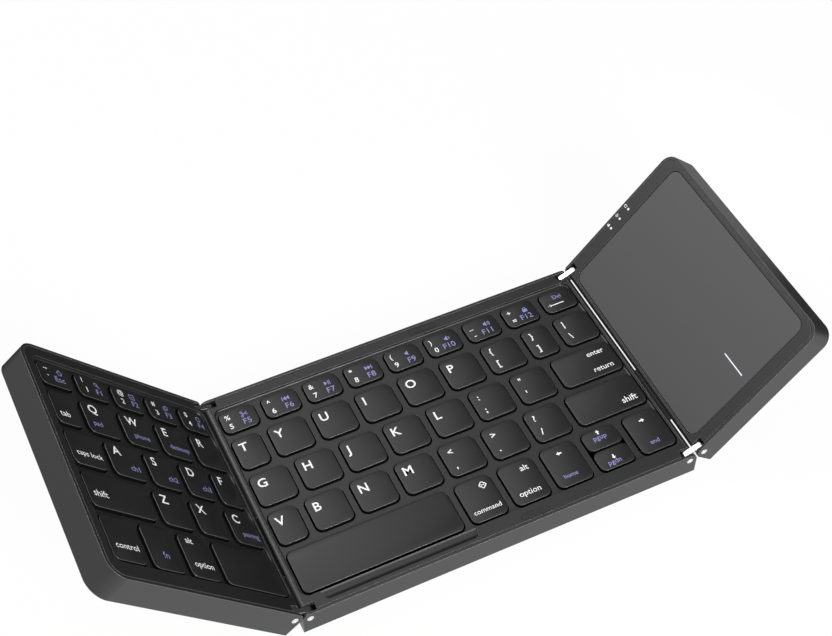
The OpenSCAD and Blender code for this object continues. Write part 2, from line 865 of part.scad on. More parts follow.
// Left key panel
module shell_left() {
    color("#3c3c3e") in_left() {
        difference() {
            union() {
                shell(-left_w, 0, false, true, left_screws);
                standoffs([for (x = [-26, -13], y = [ribbon_y + 2, ribbon_y + ribbon_w - 2]) [x, y]]);
                ribs(8 - left_w, -8, [row_y(3) - key_gap / 2, row_y(4) - key_gap / 2]);
            }
            stakes(left_stakes, 0.1, plate_z - 0.6, plate_z + over);
        }
    }
}

module frame_left() {
    color("#3a3a3b") in_left() {
        difference() {
            union() {
                difference() {
                    translate([0, 0, frame_z]) linear_extrude(panel_t - frame_z)
                        frame_plan(-left_w, 0, false, true);
                    translate([0, 0, frame_z - over]) linear_extrude(panel_t) left_wells();
                    field_cut(outer_margin - left_w - 1.2, -field_edge);
                }
                frame_supports(-left_w, 0, false, true, left_screws, base_z);
                stakes(left_stakes, 0, plate_z - 0.4, frame_z + eps);
            }
            frame_holes(-left_w, 0, false, true, left_screws);
        }
    }
}

module plate_left() {
    color("#a9abae") in_left() sheet(-left_w, 0, false, true, left_screws, left_stakes, plate_z, plate_t);
}

module membrane_left() {
    color("#c9cfc4") in_left() sheet(-left_w, 0, false, true, left_screws, left_stakes, sheet_z, sheet_t);
}

module domes_left() {
    color("#d9d9d4") under_left("dome");
}

module scissors_left() {
    color("#ededea") under_left("scissor");
}

module board_left() {
    color("#1f5a3a") in_left() {
        translate([-side_board_in - side_board_l, ribbon_y - 1, board_z])
            cube([side_board_l, ribbon_w + 2, board_t]);
        connector(-18);
        chip(-27, ribbon_y + 8, 4, 8, 0.9);
    }
}

module screws_left() {
    color("#8d9094") in_left() at_screws(left_screws) case_screw();
}

module feet_left() {
    color("#202021") in_left() at_screws(left_screws) foot();
}

module pins_left() {
    color("#c4c6c9") in_left() pins(-pin_in);
}

module key_escape() {
    color("#2e2e30") left_keys(4, 0, 0);
}

module keys_number_left() {
    color("#2e2e30") left_keys(4, 1, 4);
}

module key_tab() {
    color("#2e2e30") left_keys(3, 0, 0);
}

module keys_upper_left() {
    color("#2e2e30") left_keys(3, 1, 4);
}

module key_caps_lock() {
    color("#2e2e30") left_keys(2, 0, 0);
}

module keys_home_left() {
    color("#2e2e30") left_keys(2, 1, 4);
}

module key_shift_left() {
    color("#2e2e30") left_keys(1, 0, 0);
}

module keys_lower_left() {
    color("#2e2e30") left_keys(1, 1, 3);
}

module keys_modifier_left() {
    color("#2e2e30") left_keys(0, 0, 2);
}

module key_space_left() {
    color("#2e2e30") left_keys(0, 3, 3);
}

// Right touchpad panel
module shell_right() {
    color("#3c3c3e") in_right() {
        difference() {
            union() {
                shell(0, right_w, true, false, right_screws);
                standoffs([[11, 25], [11, 60], [11, 90], [36, 86], [56, 86]]);
            }
            usb_room(0.15);
        }
    }
}

// Room round the charging socket, grown by g
module usb_room(g) {
    translate([usb_x - usb_w / 2 - g, depth - 0.3 - usb_d - g, usb_z - g])
        cube([usb_w + 2 * g, usb_d + 0.3 + over, usb_h + 2 * g]);
}

module frame_right() {
    color("#3a3a3b") in_right() {
        difference() {
            union() {
                translate([0, 0, frame_z]) linear_extrude(panel_t - frame_z) difference() {
                    frame_plan(0, right_w, true, false);
                    translate([pad_x - pad_gap, pad_bezel - pad_gap])
                        round_rect(pad_w + 2 * pad_gap, pad_d + 2 * pad_gap, pad_r + pad_gap);
                }
                frame_supports(0, right_w, true, false, right_screws, tray_z + tray_t);
            }
            frame_holes(0, right_w, true, false, right_screws);
            usb_room(0.2);
            light_pipe_row(0.03, frame_z - over, panel_t + over);
        }
    }
}

module light_pipe_row(g, z0, z1) {
    for (k = [0:2]) {
        translate([led_x + k * led_pitch, led_y, z0]) cylinder(r = led_r + g, h = z1 - z0, $fn = fine);
    }
}

module light_pipes() {
    color("#f4f6f8") in_right() light_pipe_row(0, board_z + board_t + 0.6, panel_t - 0.05);
}

module touchpad() {
    color("#5a5a5c") in_right() translate([pad_x, pad_bezel, pad_z]) linear_extrude(pad_t)
        round_rect(pad_w, pad_d, pad_r);
}

module touchpad_board() {
    color("#1f5a3a") in_right() translate([pad_x + 2, pad_bezel + 2, pad_board_z])
        linear_extrude(pad_board_t) round_rect(pad_w - 4, pivot_y - pad_bezel - 3.2, 1);
}

// Steel tray below the touchpad, with two round-topped pivot posts at the back
module pad_tray() {
    color("#a9abae") in_right() {
        difference() {
            sheet(0, right_w, true, false, right_screws, [], tray_z, tray_t);
            light_pipe_row(0.1, tray_z - over, tray_z + tray_t + over);
            usb_room(0.2);
        }
        for (x = [pad_x + 8, pad_x + pad_w - 14]) {
            translate([x, pivot_y - pivot_r, tray_z + tray_t - eps])
                cube([6, 2 * pivot_r, pivot_z - tray_z - tray_t + eps]);
            translate([x, pivot_y, pivot_z]) rotate([0, 90, 0]) cylinder(r = pivot_r, h = 6, $fn = fine);
        }
    }
}

module click_switch() {
    color("#d0d2d4") in_right() translate([pad_x + pad_w / 2, pad_bezel + 10, tray_z + tray_t]) {
        translate([-2.6, -2.6, 0]) cube([5.2, 5.2, 0.7]);
        translate([0, 0, 0.7 - eps]) cylinder(r = 1.1, h = pad_board_z - 0.55 - tray_z - tray_t - 0.7, $fn = fine);
    }
}

module power_board() {
    color("#1f5a3a") in_right() {
        difference() {
            union() {
                translate([board_in, ribbon_y - 1, board_z])
                    cube([board_arm, board_back - ribbon_y + 1, board_t]);
                translate([board_in, board_front, board_z])
                    cube([right_w - 2 * board_in, board_back - board_front, board_t]);
            }
            at_screws(right_screws) cylinder(r = boss_r + 0.3, h = plate_z, $fn = fine);
        }
        connector(18);
        chip(30, 84, 7, 7, 1);
        chip(43, 86, 4, 4, 0.9);
        for (k = [0:2]) chip(led_x + k * led_pitch - 0.6, led_y - 0.6, 1.2, 1.2, 0.6);
    }
}

module battery() {
    color("#c3c5c7") in_right() translate([battery_x, battery_y, floor_t]) linear_extrude(battery_t)
        round_rect(right_w - battery_x - board_in + 0.5, battery_d, 1.5);
}

module usb_socket() {
    color("#bcbec1") in_right() translate([usb_x, depth - 0.3, usb_z]) difference() {
        translate([-usb_w / 2, -usb_d, 0]) cube([usb_w, usb_d, usb_h]);
        translate([-usb_w / 2 + 0.3, -usb_d + 1, 0.3]) cube([usb_w - 0.6, usb_d, usb_h - 0.6]);
    }
}

module screws_right() {
    color("#8d9094") in_right() at_screws(right_screws) case_screw();
}

module feet_right() {
    color("#202021") in_right() at_screws(right_screws) foot();
}

module pins_right() {
    color("#c4c6c9") in_right() pins(pin_in);
}

shell_mid();
frame_mid();
plate_mid();
membrane_mid();
domes_mid();
scissors_mid();
main_board();
screws_mid();
feet_mid();
bumpers_mid();
pins_mid();
keys_number_mid();
keys_upper_mid();
keys_home_mid();
key_enter();
keys_lower_mid();
key_shift_right();
key_space_mid();
keys_modifier_mid();
key_arrow_left();
key_arrow_up();
key_arrow_down();
key_arrow_right();
links_left();
ribbon_left();
shell_left();
frame_left();
plate_left();
membrane_left();
domes_left();
scissors_left();
board_left();
screws_left();
feet_left();
pins_left();
key_escape();
keys_number_left();
key_tab();
keys_upper_left();
key_caps_lock();
keys_home_left();
key_shift_left();
keys_lower_left();
keys_modifier_left();
key_space_left();
links_right();
ribbon_right();
shell_right();
frame_right();
touchpad();
touchpad_board();
pad_tray();
click_switch();
power_board();
battery();
usb_socket();
light_pipes();
screws_right();
feet_right();
pins_right();
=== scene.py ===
import json
import math

import bmesh
import bpy
from mathutils import Matrix, Vector


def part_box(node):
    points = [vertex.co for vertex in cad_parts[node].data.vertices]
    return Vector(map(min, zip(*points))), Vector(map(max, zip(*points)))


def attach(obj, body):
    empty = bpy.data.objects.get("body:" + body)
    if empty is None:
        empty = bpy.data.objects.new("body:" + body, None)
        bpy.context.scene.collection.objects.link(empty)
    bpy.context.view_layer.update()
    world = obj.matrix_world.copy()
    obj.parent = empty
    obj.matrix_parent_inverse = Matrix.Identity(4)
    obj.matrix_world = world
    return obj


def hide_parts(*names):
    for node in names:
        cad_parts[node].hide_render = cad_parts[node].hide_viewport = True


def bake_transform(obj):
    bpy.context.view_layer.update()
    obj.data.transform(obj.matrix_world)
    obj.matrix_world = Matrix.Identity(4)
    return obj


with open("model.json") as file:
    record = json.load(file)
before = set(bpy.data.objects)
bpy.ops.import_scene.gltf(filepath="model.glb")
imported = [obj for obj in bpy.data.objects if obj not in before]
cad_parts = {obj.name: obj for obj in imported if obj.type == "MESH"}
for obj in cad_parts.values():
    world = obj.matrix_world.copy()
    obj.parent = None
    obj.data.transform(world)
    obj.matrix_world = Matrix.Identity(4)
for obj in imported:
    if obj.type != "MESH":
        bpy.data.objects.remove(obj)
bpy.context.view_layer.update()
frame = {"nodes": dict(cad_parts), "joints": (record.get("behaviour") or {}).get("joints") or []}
nodes = frame["nodes"]

# --- Viewpoint -------------------------------------------------------------------------------
# A long lens above the front left corner looks down on the half-folded keyboard. The middle
# panel's front left corner is the place that every other measure starts from.
MM = 0.001
middle = Matrix.Translation(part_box("shell_mid")[0])
mid_width = (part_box("shell_mid")[1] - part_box("shell_mid")[0]).x / MM
depth = (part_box("shell_mid")[1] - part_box("shell_mid")[0]).y / MM

azimuth = math.radians(-25.459)
elevation = math.radians(50.178)
aim_from_front = 52.8
aim = middle @ Vector((mid_width / 2 * MM, aim_from_front * MM, 0))
to_camera = Vector(
    (
        math.sin(azimuth) * math.cos(elevation),
        -math.cos(azimuth) * math.cos(elevation),
        math.sin(elevation),
    )
)
image_right = (-to_camera).cross(Vector((0, 0, 1))).normalized()
image_up = to_camera.cross(image_right)
aim_right, aim_down, aim_far = 11.559 * MM, 50.501 * MM, 631.164 * MM

camera_data = bpy.data.cameras.new("camera")
camera_data.sensor_width = 36
camera_data.lens = 68.68
camera_data.clip_start = 0.01
camera = bpy.data.objects.new("camera", camera_data)
bpy.context.scene.collection.objects.link(camera)
camera_place = aim - aim_right * image_right + aim_down * image_up + aim_far * to_camera
turn = Matrix((image_right, image_up, to_camera)).transposed().to_4x4()
camera.matrix_world = Matrix.Translation(camera_place) @ turn
bpy.context.scene.camera = camera
bpy.context.scene.view_settings.view_transform = "Standard"


# --- Floor and studio ------------------------------------------------------------------------
# A white sweep of paper under the keyboard, lit by a soft white tent. The tent is the world, and
# it shows in the gloss of the plastic as the even white surround of a product stand.
def linear(code):
    """The linear colour of an sRGB code such as #1E1E1F, with full alpha."""
    parts = [int(code[i : i + 2], 16) / 255 for i in (1, 3, 5)]
    parts = [c / 12.92 if c <= 0.04045 else ((c + 0.055) / 1.055) ** 2.4 for c in parts]
    return (*parts, 1.0)


def add(tree, kind, settings=None, links=None):
    """A node of that kind, with its own settings or socket values, and its inputs linked."""
    node = tree.nodes.new(kind)
    for name, value in (settings or {}).items():
        if isinstance(name, int) or name in node.inputs:
            node.inputs[name].default_value = value
        else:
            setattr(node, name, value)
    for name, socket in (links or {}).items():
        tree.links.new(socket, node.inputs[name])
    return node


def larger(tree, first, second):
    """The larger of two values."""
    return add(tree, "ShaderNodeMath", {"operation": "MAXIMUM"}, {0: first, 1: second}).outputs[0]


def new_material(name):
    """An empty material of that name, and its node tree."""
    material = bpy.data.materials.new(name)
    material.use_nodes = True
    material.node_tree.nodes.clear()
    return material, material.node_tree


def new_object(bm, name, *materials):
    """An object of that name, with the bmesh as its mesh."""
    mesh = bpy.data.meshes.new(name)
    bm.to_mesh(mesh)
    bm.free()
    for material in materials:
        mesh.materials.append(material)
    made = bpy.data.objects.new(name, mesh)
    bpy.context.scene.collection.objects.link(made)
    return made


paper, tree = new_material("white_paper_sweep")
fibre_size = 2.0 * MM
paper_dark, paper_light = 0.8, 0.84
place = add(tree, "ShaderNodeTexCoord")
fibres = add(tree, "ShaderNodeTexNoise", {"Scale": 1 / fibre_size}, {"Vector": place.outputs["Object"]})
tone = add(
    tree,
    "ShaderNodeMapRange",
    {"To Min": paper_dark, "To Max": paper_light},
    {"Value": fibres.outputs["Fac"]},
)
shade = add(tree, "ShaderNodeBsdfDiffuse", {}, {"Color": tone.outputs["Result"]})
# Painted shade: behind the keyboard the paper's glow, as the plastic's gloss sees it, is turned down to a
# dark grey in place of the keyboard's shade on the paper. The camera still sees it white.
gloss_shade_direction = (0.35, 0.94, 0)
gloss_shade_start, gloss_shade_end = 0.0, 0.04
gloss_shade_grey = 0.08
gloss_shade = add(
    tree,
    "ShaderNodeVectorMath",
    {"operation": "DOT_PRODUCT", 1: gloss_shade_direction},
    {0: place.outputs["Object"]},
)
gloss = add(
    tree,
    "ShaderNodeMapRange",
    {"From Min": gloss_shade_start, "From Max": gloss_shade_end, "To Min": 1.0, "To Max": gloss_shade_grey},
    {"Value": gloss_shade.outputs["Value"]},
)
seen = add(tree, "ShaderNodeLightPath")
bright = larger(tree, seen.outputs["Is Camera Ray"], gloss.outputs["Result"])
glow = add(tree, "ShaderNodeEmission", {}, {"Strength": bright})
# The camera sees the white glow, with a last trace of the keyboard's shadow on the paper.
glow_share = 0.96
camera_part = add(
    tree, "ShaderNodeMath", {"operation": "MULTIPLY", 1: glow_share}, {0: seen.outputs["Is Camera Ray"]}
)
clear = larger(tree, seen.outputs["Is Glossy Ray"], seen.outputs["Is Transmission Ray"])
part = larger(tree, camera_part.outputs[0], clear)
both = add(tree, "ShaderNodeMixShader", {}, {0: part, 1: shade.outputs[0], 2: glow.outputs[0]})
add(tree, "ShaderNodeOutputMaterial", {}, {"Surface": both.outputs[0]})

floor_half = 3.0
floor_below_feet = 0.02 * MM
bm = bmesh.new()
bmesh.ops.create_grid(bm, x_segments=1, y_segments=1, size=floor_half)
bmesh.ops.translate(bm, vec=(0, 0, -floor_below_feet), verts=bm.verts)
floor = new_object(bm, "floor", paper)

world = bpy.data.worlds.new("white_tent")
world.use_nodes = True
bpy.context.scene.world = world
tree = world.node_tree
tree.nodes.clear()
# A black flag stands at the right and behind, so that the left panel's top stays dark.
flag_direction = (0.8, 0.52, -0.3)
flag_start, flag_end = 0.0, 0.42
tent_light = 0.65
place = add(tree, "ShaderNodeTexCoord")
toward = add(
    tree,
    "ShaderNodeVectorMath",
    {"operation": "DOT_PRODUCT", 1: flag_direction},
    {0: place.outputs["Generated"]},
)
open_sky = add(
    tree,
    "ShaderNodeMapRange",
    {"From Min": flag_start, "From Max": flag_end, "To Min": 1.0, "To Max": 0.0},
    {"Value": toward.outputs["Value"]},
)
soft = add(
    tree, "ShaderNodeMath", {"operation": "MULTIPLY", 1: tent_light}, {0: open_sky.outputs["Result"]}
)
tent = add(tree, "ShaderNodeBackground", {}, {"Strength": soft.outputs[0]})
seen = add(tree, "ShaderNodeLightPath")
clear = larger(tree, seen.outputs["Is Camera Ray"], seen.outputs["Is Glossy Ray"])
clear = larger(tree, clear, seen.outputs["Is Transmission Ray"])
bright = larger(tree, seen.outputs["Is Camera Ray"], open_sky.outputs["Result"])
white = add(tree, "ShaderNodeBackground", {}, {"Strength": bright})
both = add(tree, "ShaderNodeMixShader", {}, {0: clear, 1: tent.outputs[0], 2: white.outputs[0]})
add(tree, "ShaderNodeOutputWorld", {}, {"Surface": both.outputs[0]})

# Soft lamps, all turned to the keyboard: one in front for the front walls, one behind at the left
# and a large one above for the gloss of the caps, and a small one low at the right that strokes
# the touchpad panel's outer end. Each is its name, place and side in metres, and its watts.
for name, lamp_place, side, watts in (
    ("front_softbox", (0.1, -0.84, 0.53), 0.4, 10.0),
    ("back_softbox", (-0.44, 0.58, 0.7), 0.3, 2.4),
    ("top_softbox", (0.04, 0.46, 0.86), 0.7, 1.15),
    ("side_strip", (0.24, 0.09, 0.035), 0.08, 0.014),
):
    lamp_data = bpy.data.lights.new(name, "AREA")
    lamp_data.size = side
    lamp_data.energy = watts
    lamp = bpy.data.objects.new(name, lamp_data)
    lamp_turn = Vector(lamp_place).to_track_quat("Z", "Y").to_matrix().to_4x4()
    lamp.matrix_world = Matrix.Translation(lamp_place) @ lamp_turn
    lamp.visible_camera = False
    bpy.context.scene.collection.objects.link(lamp)


# --- Bottom shells ---------------------------------------------------------------------------
# Three trays of charcoal ABS, injection moulded with a fine spark-eroded texture, that form the
# outer walls, the floor and the rounded hinge edge. The eye sees a soft even sheen with a grain.
# Painted highlight: moulded() can mix a lighter grey into a surface's corners, in place of the lamps'
# glints on its rounded edges.
highlight_grey = "#8E8E90"
highlight_begins, highlight_full = 0.985, 0.88


def moulded(name, dark, light, rough, grain_mm, pit_mm, edge_mm, shine=0.5, edge_highlight=0.0):
    """Moulded plastic: two close greys mixed by a fine grain, shallow pits and rounded corners.

    The corners get a painted highlight, a lighter grey mixed in as much as edge_highlight says.
    A corner is where the rounded normal and the face's own normal part, down from 1.
    """
    material, tree = new_material(name)
    place = add(tree, "ShaderNodeTexCoord")
    dots = add(
        tree,
        "ShaderNodeTexNoise",
        {"Scale": 1 / (grain_mm * MM), "Detail": 3.0, "Roughness": 0.6},
        {"Vector": place.outputs["Object"]},
    )
    corner = add(tree, "ShaderNodeBevel", {"samples": 4, "Radius": edge_mm * MM})
    normal = add(
        tree,
        "ShaderNodeBump",
        {"Strength": 0.35, "Distance": pit_mm * MM},
        {"Height": dots.outputs["Fac"], "Normal": corner.outputs["Normal"]},
    )
    greys = {"data_type": "RGBA", 6: linear(dark), 7: linear(light)}
    tone = add(tree, "ShaderNodeMix", greys, {0: dots.outputs["Fac"]})
    # The painted highlight on the corners.
    if edge_highlight:
        face = add(tree, "ShaderNodeNewGeometry")
        agreement = add(
            tree,
            "ShaderNodeVectorMath",
            {"operation": "DOT_PRODUCT"},
            {0: corner.outputs["Normal"], 1: face.outputs["Normal"]},
        )
        highlight_share = add(
            tree,
            "ShaderNodeMapRange",
            {"From Min": highlight_begins, "From Max": highlight_full, "To Min": 0.0, "To Max": edge_highlight},
            {"Value": agreement.outputs["Value"]},
        )
        tone = add(
            tree,
            "ShaderNodeMix",
            {"data_type": "RGBA", 7: linear(highlight_grey)},
            {0: highlight_share.outputs["Result"], 6: tone.outputs[2]},
        )
    surface = add(
        tree,
        "ShaderNodeBsdfPrincipled",
        {"Roughness": rough, "IOR": 1.53, "Specular IOR Level": shine},
        {"Base Color": tone.outputs[2], "Normal": normal.outputs["Normal"]},
    )
    add(tree, "ShaderNodeOutputMaterial", {}, {"Surface": surface.outputs[0]})
    return material


def dress(name, material):
    """Gives a carried-over solid its finish."""
    data = nodes[name].data
    data.materials.clear()
    data.materials.append(material)


# Spark-eroded ABS: an even satin charcoal with a fine grain, and thin painted highlights on the edges.
# The pits are about 0.05 mm wide on the real part, and 0.4 mm here so that they show.
shell_abs = moulded("moulded_abs_shell", "#1E1E1F", "#242425", 0.4, 0.4, 0.02, 0.3, edge_highlight=0.8)
for name in ("shell_mid", "shell_left", "shell_right"):
    dress(name, shell_abs)


# --- Top frames ------------------------------------------------------------------------------
# The charcoal ABS frames that drop into the trays and carry the key wells and the touchpad
# opening. They are moulded with a slightly finer texture than the trays.
# A slightly glossier charcoal, so that the decks mirror a little more than the walls do. Its edges get a
# fainter painted highlight than the trays' edges.
frame_abs = moulded("moulded_abs_frame", "#1C1C1D", "#212122", 0.36, 0.35, 0.015, 0.3, edge_highlight=0.5)
for name in ("frame_mid", "frame_left", "frame_right"):
    dress(name, frame_abs)


# --- Keycaps ---------------------------------------------------------------------------------
# Low caps of charcoal ABS with rounded corners and softly rolled top edges, moulded hollow with
# a 0.9 mm wall. They clip onto the scissors below and their tops lie just below the rim.
# All measures are in millimetres, and the two lifts of the outer panels in degrees.
pin_in = 3.0
panel_t = 11.0
cap_h, cap_wall, cap_top = 2.6, 0.9, 1.2
cap_corner, cap_roll = 2.6, 0.22
cap_below_rim = 0.3
cap_base = panel_t - cap_below_rim - cap_h
key_gap = 3.45
keys_front, keys_back = 8.55, depth - 8
arrow_gap = 0.9
left_width = 96.0
mid_start, mid_end = 4.55, mid_width - 3.7
left_start, left_end = 5.8 - left_width, -3.95
left_lift, right_lift = 50, 48

# How deep each row is, and how long its keys are, from the front row to the number row.
row_units = [1.196, 1.005, 1, 1, 0.763]
mid_units = [
    [3.68] + [0.985] * 5,
    [0.8] + [1] * 6 + [1.8],
    [1] * 7 + [1.6],
    [0.8] + [1] * 6 + [0.8, 1],
    [1] * 9,
]
left_units = [
    [0.985, 0.97, 0.94, 1.9],
    [1.8, 1, 1, 1],
    [1, 1.02, 0.975, 0.915, 0.88],
    [0.8, 1, 1, 1, 1],
    [1] * 5,
]

# Each panel's own place: its hinge end at X = 0, its front at Y = 0 and its underside at Z = 0.
joint_at = {j["name"]: Vector(j["pos_m"]) for j in frame["joints"] if "pos_m" in j}
half_depth = Vector((0, depth / 2 * MM, 0))
pin_drop = (panel_t - pin_in) * MM


def panel_place(joint, degrees, pin_x):
    """The place of a panel that is turned about Y, with its pin pin_x from its hinge end."""
    pin = Matrix.Translation(joint_at[joint] - half_depth)
    turn = Matrix.Rotation(math.radians(degrees), 4, "Y")
    return pin @ turn @ Matrix.Translation((pin_x * MM, 0, -pin_drop))


left_panel = panel_place("left_outer_hinge", left_lift, pin_in)
right_panel = panel_place("right_outer_hinge", -right_lift, -pin_in)


def spans(units, start, end):
    """Where each cell of a row starts and how long its cap is, in millimetres."""
    step = (end - start + key_gap) / sum(units)
    out = []
    for i, unit in enumerate(units):
        out.append((start + step * sum(units[:i]), step * unit - key_gap))
    return out


row_spans = spans(row_units, keys_front, keys_back)


def key_places(units, start, end):
    """{(row, place): (x, y, width, depth)} for all keys of a panel, in millimetres."""
    places = {}
    for row, cells in enumerate(units):
        y, d = row_spans[row]
        for i, (x, w) in enumerate(spans(cells, start, end)):
            places[row, i] = (x, y, w, d)
    return places


mid_places = key_places(mid_units, mid_start, mid_end)
left_places = key_places(left_units, left_start, left_end)
x, y, w, d = mid_places[0, 4]
half = (d - arrow_gap) / 2
mid_places["down"] = (x, y, w, half)
mid_places["up"] = (x, y + half + arrow_gap, w, half)


# How far a face's normal points up on a side, on the flat top and on the underside.
side_steepness, top_flatness, underside = 0.2, 0.93, -0.9
off_centre = 0.1


def cap_mesh(w, d):
    """One hollow cap, centred on the origin with its skirt at Z = 0.

    Its top has material 0, its sides and hollow material 1, painted shade, and its rolled edge material
    2, a painted highlight.
    """
    bm = bmesh.new()
    bmesh.ops.create_grid(bm, x_segments=1, y_segments=1, size=0.5)
    bmesh.ops.scale(bm, vec=(w * MM, d * MM, 1), verts=bm.verts)
    bmesh.ops.bevel(
        bm,
        geom=bm.verts[:],
        offset=cap_corner * MM,
        affect="VERTICES",
        segments=7,
        profile=0.5,
        material=-1,
    )
    bottom = bm.faces[:]
    top = bmesh.ops.extrude_face_region(bm, geom=bottom, use_keep_orig=True)["geom"]
    top_verts = [v for v in top if isinstance(v, bmesh.types.BMVert)]
    bmesh.ops.translate(bm, vec=(0, 0, cap_h * MM), verts=top_verts)
    rim = [e for e in bm.edges if all(v in set(top_verts) for v in e.verts)]
    bmesh.ops.bevel(
        bm, geom=rim, offset=cap_roll * MM, affect="EDGES", segments=3, profile=0.5, material=-1
    )
    bmesh.ops.recalc_face_normals(bm, faces=bm.faces)
    for face in bm.faces:
        if face.normal.z < side_steepness:
            face.material_index = 1
        elif face.normal.z < top_flatness:
            face.material_index = 2
    under = [f for f in bm.faces if f.normal.z < underside]
    bmesh.ops.inset_region(bm, faces=under, thickness=cap_wall * MM, use_even_offset=True)
    under = [f for f in bm.faces if f.normal.z < underside]
    hollow = [f for f in under if f.calc_center_median().length < off_centre * MM]
    inner = bmesh.ops.extrude_face_region(bm, geom=hollow)["geom"]
    bmesh.ops.translate(
        bm,
        vec=(0, 0, (cap_h - cap_top) * MM),
        verts=[v for v in inner if isinstance(v, bmesh.types.BMVert)],
    )
    mesh = bpy.data.meshes.new("cap")
    bm.to_mesh(mesh)
    bm.free()
    return mesh


# Fine satin charcoal on the tops. The sides are left rougher from the mould, and their near-black colour
# is painted shade of the narrow gap around each cap, so that each cap stands in a black outline. The
# rolled edge gets a lighter grey, a painted highlight that shows as a thin line.
key_abs = moulded("moulded_abs_keycap", "#1C1C1D", "#202021", 0.34, 0.3, 0.008, 0.05)
skirt_shade_abs = moulded("abs_cap_skirt_painted_shade", "#030303", "#060606", 0.8, 0.3, 0.004, 0.02, 0.08)
roll_highlight_abs = moulded("abs_cap_roll_painted_highlight", "#3E3E40", "#48484A", 0.34, 0.3, 0.004, 0.02)
mid_nodes = {
    "keys_number_mid": [(4, i) for i in range(9)],
    "keys_upper_mid": [(3, i) for i in range(9)],
    "keys_home_mid": [(2, i) for i in range(7)],
    "key_enter": [(2, 7)],
    "keys_lower_mid": [(1, i) for i in range(7)],
    "key_shift_right": [(1, 7)],
    "key_space_mid": [(0, 0)],
    "keys_modifier_mid": [(0, 1), (0, 2)],
    "key_arrow_left": [(0, 3)],
    "key_arrow_up": ["up"],
    "key_arrow_down": ["down"],
    "key_arrow_right": [(0, 5)],
}
left_nodes = {
    "key_escape": [(4, 0)],
    "keys_number_left": [(4, i) for i in range(1, 5)],
    "key_tab": [(3, 0)],
    "keys_upper_left": [(3, i) for i in range(1, 5)],
    "key_caps_lock": [(2, 0)],
    "keys_home_left": [(2, i) for i in range(1, 5)],
    "key_shift_left": [(1, 0)],
    "keys_lower_left": [(1, i) for i in range(1, 4)],
    "keys_modifier_left": [(0, i) for i in range(3)],
    "key_space_left": [(0, 3)],
}
sharp_degrees = 40
for panel, places, table in ((middle, mid_places, mid_nodes), (left_panel, left_places, left_nodes)):
    for name, keys in table.items():
        bm = bmesh.new()
        for key in keys:
            x, y, w, d = places[key]
            centre = Vector((x + w / 2, y + d / 2, cap_base)) * MM
            mesh = cap_mesh(w, d)
            mesh.transform(panel @ Matrix.Translation(centre))
            bm.from_mesh(mesh)
            bpy.data.meshes.remove(mesh)
        bmesh.ops.recalc_face_normals(bm, faces=bm.faces)
        piece = new_object(bm, "caps_" + name, key_abs, skirt_shade_abs, roll_highlight_abs)
        piece.data.polygons.foreach_set("use_smooth", [True] * len(piece.data.polygons))
        piece.data.set_sharp_from_angle(angle=math.radians(sharp_degrees))
        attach(piece, name)
        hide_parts(name)


# --- Legends ---------------------------------------------------------------------------------
# Letters, digits and signs pad-printed on the caps in white ink, and the second functions in
# lavender ink. The ink lies on the plastic as a thin satin film.
blotch_mm = 0.5


def ink(name, code):
    """A printed ink of one colour, whose sheen varies in small blotches."""
    material, tree = new_material(name)
    place = add(tree, "ShaderNodeTexCoord")
    spread = add(
        tree,
        "ShaderNodeTexNoise",
        {"Scale": 1 / (blotch_mm * MM), "Detail": 2.0},
        {"Vector": place.outputs["Object"]},
    )
    rough = add(
        tree, "ShaderNodeMapRange", {"To Min": 0.4, "To Max": 0.55}, {"Value": spread.outputs["Fac"]}
    )
    surface = add(
        tree,
        "ShaderNodeBsdfPrincipled",
        {"Base Color": linear(code), "IOR": 1.5},
        {"Roughness": rough.outputs["Result"]},
    )
    add(tree, "ShaderNodeOutputMaterial", {}, {"Surface": surface.outputs[0]})
    return material


# Crisp white for the main functions and a soft violet grey for the second ones.
white_ink = ink("pad_printed_white_ink", "#F6F6F8")
lavender_ink = ink("pad_printed_lavender_ink", "#8E8CC4")
WHITE, LAVENDER = 0, 1
ink_lift = 0.015
ink_z = panel_t - cap_below_rim + ink_lift
letter_boldness, word_boldness = 0.014, 0.004


def text_mesh(words, size):
    """Words as a flat mesh, with their lower left corner at the origin."""
    curve = bpy.data.curves.new("legend", "FONT")
    curve.body = words
    curve.size = size * MM
    boldness = letter_boldness if len(words) == 1 else word_boldness
    curve.offset = boldness * size * MM
    curve.resolution_u = 3
    curve.align_x = "LEFT"
    curve.align_y = "BOTTOM_BASELINE"
    holder = bpy.data.objects.new("legend", curve)
    bpy.context.scene.collection.objects.link(holder)
    bpy.context.view_layer.update()
    mesh = bpy.data.meshes.new_from_object(holder.evaluated_get(bpy.context.evaluated_depsgraph_get()))
    bpy.data.objects.remove(holder)
    bpy.data.curves.remove(curve)
    return mesh


def print_words(bm, panel, words, x, y, size, colour):
    """Prints words with their lower left corner at x, y on a panel's caps."""
    mesh = text_mesh(words, size)
    mesh.transform(panel @ Matrix.Translation((x * MM, y * MM, ink_z * MM)))
    before = len(bm.faces)
    bm.from_mesh(mesh)
    bm.faces.ensure_lookup_table()
    for face in bm.faces[before:]:
        face.material_index = colour
    bpy.data.meshes.remove(mesh)


def print_shape(bm, panel, points, x, y, size, colour, z=ink_z):
    """Prints a filled outline, drawn in a unit square, with its lower left corner at x, y."""
    corners = [Vector((x + px * size, y + py * size, z)) * MM for px, py in points]
    face = bm.faces.new([bm.verts.new(panel @ corner) for corner in corners])
    face.material_index = colour


def stroke(*points, width=0.13):
    """Outlines of a drawn line, one short bar for each stretch."""
    bars = []
    for (ax, ay), (bx, by) in zip(points, points[1:]):
        length = math.hypot(bx - ax, by - ay)
        nx = -(by - ay) / length * width / 2
        ny = (bx - ax) / length * width / 2
        bars.append([(ax + nx, ay + ny), (ax - nx, ay - ny), (bx - nx, by - ny), (bx + nx, by + ny)])
    return bars


corner_every = 40


